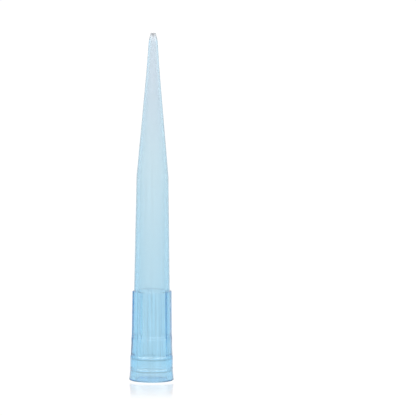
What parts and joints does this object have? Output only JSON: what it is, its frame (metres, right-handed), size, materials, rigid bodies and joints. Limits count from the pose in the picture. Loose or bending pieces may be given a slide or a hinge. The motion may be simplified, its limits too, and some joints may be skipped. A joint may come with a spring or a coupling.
{
  "type": "pipette tip",
  "caption": "Hollow blue translucent tip for a one-millilitre pipettor: ribbed conical socket, slim barrel and a long cone to a bevelled point.",
  "frame": {"origin": "centre of the mouth rim, on the plane that the tip stands on", "axes": "+Z along the tip's axis, from the mouth to the point; +X through the crest of one collar rib"},
  "size_m": [0.009, 0.009, 0.071],
  "materials": {
    "blue_polypropylene": "translucent blue polypropylene, satin as moulded"
  },
  "bodies": {
    "root": {"pipette_tip": "blue_polypropylene"}
  },
  "joints": []
}
